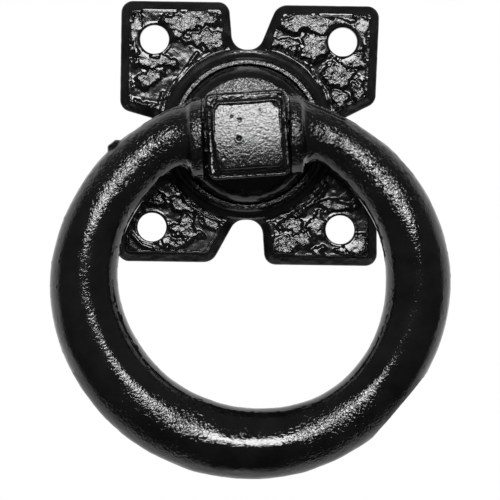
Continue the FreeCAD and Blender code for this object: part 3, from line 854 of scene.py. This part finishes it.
    def grain_share(self, skin: Skin, grain: Grain) -> np.ndarray:
        """Plain grain on the dome and the ledge, half as plain on the panel, filled on flank and sides."""
        panel = smooth_step(self.step_depth + 0.2, self.step_depth + 0.6, skin.depth)
        ledge = smooth_step(self.step_depth - 1.0, self.step_depth - 0.5, skin.depth) * (1 - panel)
        dome = smooth_step(self.dome[0] - 0.1, self.dome[0] + 0.2, skin.depth)
        dome *= smooth_step(self.dome[1] + 1.0, self.dome[1], skin.depth)
        share = 0.1 + 0.9 * dome + 0.5 * ledge + self.panel_share * panel
        return share * smooth_step(0.3, 0.85, skin.facing)

    def face_marks(self, skin: Skin) -> np.ndarray:
        """Blow holes in the panel's face, one with a raised ring."""
        front = smooth_step(28.4, 28.9, skin.depth) * smooth_step(0.7, 0.9, skin.facing)
        across, up = self.block_places(skin)
        bend = self.panel_bend
        past = up - self.panel_fold
        rounded = np.clip(past + bend, 0.0, None) ** 2 / (4 * bend)
        height = -self.panel_lean * np.where(past > bend, past, rounded)
        for x, z, reach, drop in self.worn_corners:
            height -= drop * smooth_step(reach, 0.0, np.hypot(across - x, up - z))
        for x, z, width, deep in self.pits:
            away = np.hypot(skin.points[:, 0] - x, skin.points[:, 2] - z)
            height -= deep * bell(away, width)
        x, z, width = self.pit_ring
        away = np.hypot(skin.points[:, 0] - x, skin.points[:, 2] - z)
        height += 0.06 * bell(away - width, 0.2)
        return front * height


@dataclass
class Ring(Casting):
    """The ring: sand-cast bar, smoother along the bottom, with a gate stub and a parting mark."""

    node: str = "ring"
    body: Body = Body.RING
    slot: str = "ring_casting"
    pitch: float = 0.22
    finish: PaintedIron = PaintedIron(
        "enamelled_coarse_sand_cast_iron",
        grain=0.6,
        grain_height=0.24,
        gloss=(0.06, 0.11),
    )
    seed: int = 37
    middle: tuple[float, float] = (0.99, -30.04)
    crest_radius: float = 32.6
    crest_leans: tuple[Span, ...] = (
        (-7.4, 0.0),
        (-6.2, -9.0),
        (-4.6, -9.0),
        (-3.2, 0.0),
        (-1.7, 6.5),
        (0.3, 6.5),
        (0.9, 0.0),
    )
    pivot: tuple[float, float, float] = (0.0, -20.0, -0.55)
    pivot_way: tuple[float, float, float] = (0.9988, 0.0, 0.0488)
    eye_rim: Span = (9.8, 10.8)
    eye_end: Span = (16.0, 13.5)
    melt: int = 30
    eye_room: float = 11.0
    wobble: tuple[Swell, ...] = (Swell(0.14, 9.0), Swell(0.07, 4.0))
    peel: tuple[Swell, ...] = (Swell(0.06, 1.4), Swell(0.04, 0.95))
    stub: Place = (-26.6, -20.6, -3.1)
    parting: tuple[tuple[float, float, float], ...] = (
        (9.3, -23.0, 7.2),
        (12.9, -23.0, 5.8),
        (16.6, -22.8, 4.2),
        (19.4, -22.5, 2.9),
    )

    def work(self, skin: Skin, grain: Grain) -> None:
        """Lays the sand skin on the bar and adds the marks that the mould left."""
        along = np.abs((skin.points - np.array(self.pivot)) @ np.array(self.pivot_way))
        skin.relax(smooth_step(*self.eye_rim, along) * smooth_step(*self.eye_end, along), self.melt)
        skin.move(self.mould_marks(skin))
        skin.move(self.sand_skin(skin, grain))

    def bar_share(self, skin: Skin) -> np.ndarray:
        """1 on the bar, 0 on the eyes' inner faces and the trunnions."""
        middle = np.hypot(skin.points[:, 0], skin.points[:, 2] + 0.4)
        return smooth_step(self.eye_room - 1.0, self.eye_room + 1.5, middle)

    def sand_skin(self, skin: Skin, grain: Grain) -> np.ndarray:
        """Grain that is coarse on the shoulders and calm along the bottom."""
        low = smooth_step(-50.0, -60.0, skin.points[:, 2])
        arms = smooth_step(-8.0, -19.0, skin.points[:, 2]) * (1 - low)
        edge = smooth_step(0.9, 0.5, skin.facing)
        wobble = grain.swells(skin.points, self.wobble)
        peel = grain.swells(skin.points, self.peel)
        beads = 0.15 * np.clip(grain.wave(skin.points + 40.0, 1.0) - 0.35, 0.0, None)
        lively = 1.0 - (0.85 - 0.5 * edge) * arms
        calm = 1.0 - 0.85 * arms - 0.5 * low
        bar = self.bar_share(skin)
        return bar * (lively * wobble + calm * peel + edge * arms * beads - 0.04 + self.crest(skin))

    def crest(self, skin: Skin) -> np.ndarray:
        """The front of the bar leans up a little along the bottom, where the mould was dressed."""
        away = np.hypot(skin.points[:, 0] - self.middle[0], skin.points[:, 2] - self.middle[1])
        under = smooth_step(-0.80, -0.97, (skin.points[:, 2] - self.middle[1]) / away)
        places, leans = np.array(self.crest_leans).T
        steps = np.linspace(places[0], places[-1], 300)
        slopes = np.tan(np.radians(np.interp(steps, places, leans)))
        heights = np.cumsum(slopes) * (steps[1] - steps[0])
        rise = np.interp(away - self.crest_radius, steps, heights - heights[-1])
        return under * rise * smooth_step(-0.2, 0.2, skin.facing)

    def grain_share(self, skin: Skin, grain: Grain) -> np.ndarray:
        """Plain grain on the shoulders; the enamel lies thicker down the arms and along the bottom."""
        height = skin.points[:, 2]
        arms = smooth_step(-9.0, -22.0, height)
        low = smooth_step(-48.0, -58.0, height)
        sides = smooth_step(5.0, 13.0, np.abs(skin.points[:, 0] - self.middle[0]))
        share = 0.7 - 0.54 * arms + (0.08 + 0.5 * sides) * low
        share += 0.4 * (1.0 - self.bar_share(skin))
        return share * smooth_step(0.3, 0.8, np.abs(skin.facing))

    def mould_marks(self, skin: Skin) -> np.ndarray:
        """The gate stub on the left shoulder and the parting groove on the right one."""
        away = np.linalg.norm(skin.points - np.array(self.stub), axis=1)
        height = 0.8 * smooth_step(1.9, 0.9, away)
        groove = near_line(skin.points, self.parting)
        height -= 0.20 * bell(groove, 0.28)
        height += 0.10 * bell(groove - 0.62, 0.28)
        return height


@dataclass
class Washer:
    """The retaining washer, seen only from behind in the plate's hollow."""

    node: str = "retaining_washer"
    finish: OiledSteel = OiledSteel("oiled_turned_steel")

    def build(self) -> bpy.types.Object:
        """Gives the washer its steel.

        Returns:
            The washer.
        """
        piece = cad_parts[self.node]
        piece.data.materials.clear()
        piece.data.materials.append(self.finish.make())
        LOG.info("%s: kept from the frame", piece.name)
        return piece


@dataclass
class Studio:
    """One soft light over the camera, white behind the object, a pale floor below it."""

    focus: Place = (0.0, 0.0, -0.02)
    light_lift: float = 18.7
    light_way: float = 1.2
    light_size: Span = (0.78, 0.44)
    light_power: float = 18.9
    floor_level: float = -0.12
    floor_half: float = 0.16
    floor_back: float = 0.16
    floor_colour: str = "#E8E8E6"
    floor_roughness: float = 0.7
    behind_span: Span = (-0.05, 0.42)
    above_span: Span = (-0.6, 0.6)
    front_level: Span = (0.045, 0.13)
    camera_place: Place = (0.00088, -1.5, -0.02348)
    camera_roll: float = 0.8
    camera_lens: float = 529.6
    camera_reach: Span = (0.1, 20.0)

    def build(self) -> None:
        """Sets up light, world, floor and camera."""
        self.light()
        self.world()
        self.floor()
        self.camera()
        view = bpy.context.scene.view_settings
        view.view_transform = "Standard"

    def light(self) -> None:
        """The soft box over the camera."""
        lamp = bpy.data.lights.new("soft_box", "AREA")
        lamp.shape = "ELLIPSE"
        lamp.size, lamp.size_y = self.light_size
        lamp.energy = self.light_power
        holder = bpy.data.objects.new("soft_box", lamp)
        lift = math.radians(self.light_lift)
        way = Vector((0.0, -math.cos(lift), math.sin(lift)))
        holder.location = Vector(self.focus) + way * self.light_way
        holder.rotation_euler = way.to_track_quat("Z", "Y").to_euler()
        bpy.context.scene.collection.objects.link(holder)

    def world(self) -> None:
        """White for the camera; reflections see white behind the object and a dim room elsewhere."""
        world = bpy.data.worlds.new("studio")
        world.use_nodes = True
        tree = world.node_tree
        tree.nodes.clear()
        place = add_node(tree, "ShaderNodeTexCoord").outputs["Generated"]
        way = add_node(tree, "ShaderNodeSeparateXYZ", {"Vector": place})
        behind = add_node(
            tree,
            "ShaderNodeMapRange",
            {"Value": way.outputs["Y"]},
            {"From Min": self.behind_span[0], "From Max": self.behind_span[1]},
            interpolation_type="SMOOTHSTEP",
        )
        above = add_node(
            tree,
            "ShaderNodeMapRange",
            {"Value": way.outputs["Z"]},
            {
                "From Min": self.above_span[0],
                "From Max": self.above_span[1],
                "To Min": self.front_level[0],
                "To Max": self.front_level[1],
            },
        )
        level = add_node(
            tree,
            "ShaderNodeMath",
            {0: behind.outputs["Result"], 1: above.outputs["Result"]},
            operation="MAXIMUM",
        )
        around = add_node(
            tree, "ShaderNodeBackground", {"Strength": level.outputs["Value"]}, {"Color": WHITE}
        )
        seen = add_node(tree, "ShaderNodeBackground", values={"Color": WHITE, "Strength": 1.0})
        camera_ray = add_node(tree, "ShaderNodeLightPath").outputs["Is Camera Ray"]
        mix = add_node(
            tree,
            "ShaderNodeMixShader",
            {"Fac": camera_ray, 1: around.outputs["Background"], 2: seen.outputs["Background"]},
        )
        add_node(tree, "ShaderNodeOutputWorld", {"Surface": mix.outputs["Shader"]})
        bpy.context.scene.world = world

    def floor(self) -> None:
        """A pale board under the handle."""
        half = self.floor_half
        mesh = bpy.data.meshes.new("floor")
        corners = [(-half, -half), (half, -half), (half, half), (-half, half)]
        places = [(x, y + self.floor_back, self.floor_level) for x, y in corners]
        mesh.from_pydata(places, [], [(0, 1, 2, 3)])
        board = bpy.data.objects.new("floor", mesh)
        shader = Shader("painted_floor_board")
        shader.set(base_color=to_linear(self.floor_colour), roughness=self.floor_roughness)
        mesh.materials.append(shader.material)
        bpy.context.scene.collection.objects.link(board)

    def camera(self) -> None:
        """The camera, straight on and a little rolled."""
        lens = bpy.data.cameras.new("camera")
        lens.lens = self.camera_lens
        lens.clip_start, lens.clip_end = self.camera_reach
        holder = bpy.data.objects.new("camera", lens)
        holder.location = self.camera_place
        roll = Matrix.Rotation(math.radians(-self.camera_roll), 3, "Y")
        holder.rotation_euler = (roll @ Matrix.Rotation(math.radians(90), 3, "X")).to_euler()
        bpy.context.scene.collection.objects.link(holder)
        bpy.context.scene.camera = holder


def main() -> None:
    """Builds the pieces in order, then the studio."""
    logging.basicConfig(level=logging.INFO, format="%(message)s")
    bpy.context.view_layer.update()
    for part in (Backplate(), Boss(), Ring(), Washer()):
        part.build()
    Studio().build()


if __name__ == "__main__":
    main()
